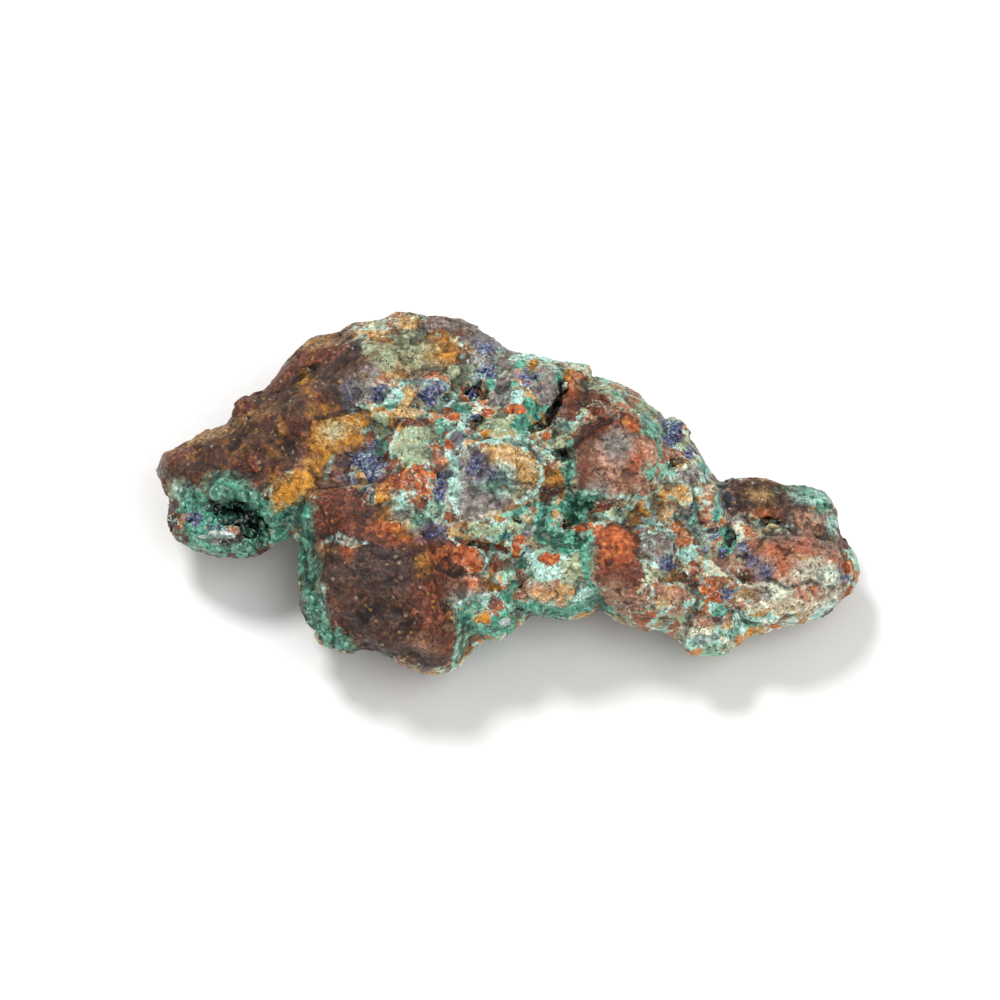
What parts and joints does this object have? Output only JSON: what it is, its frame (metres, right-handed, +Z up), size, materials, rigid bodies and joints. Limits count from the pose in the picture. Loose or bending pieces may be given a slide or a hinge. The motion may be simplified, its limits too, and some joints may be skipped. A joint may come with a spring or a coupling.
{
  "type": "azurite malachite specimen",
  "caption": "Rough lump of brown iron-oxide rock crusted with green malachite and blue azurite, with a crystal-lined hollow in one end, lying on its worn underside.",
  "frame": {"origin": "middle of the footprint, on the surface that the stone rests on", "axes": "+X along the stone's length, towards its tail; +Y away from the side that the broad face looks to; +Z up"},
  "size_m": [0.0984, 0.0533, 0.0275],
  "materials": {
    "rock": "rough",
    "crystal_crust": "glossy"
  },
  "bodies": {
    "root": {"stone": "rock", "hollow_crust": "crystal_crust"}
  },
  "joints": []
}
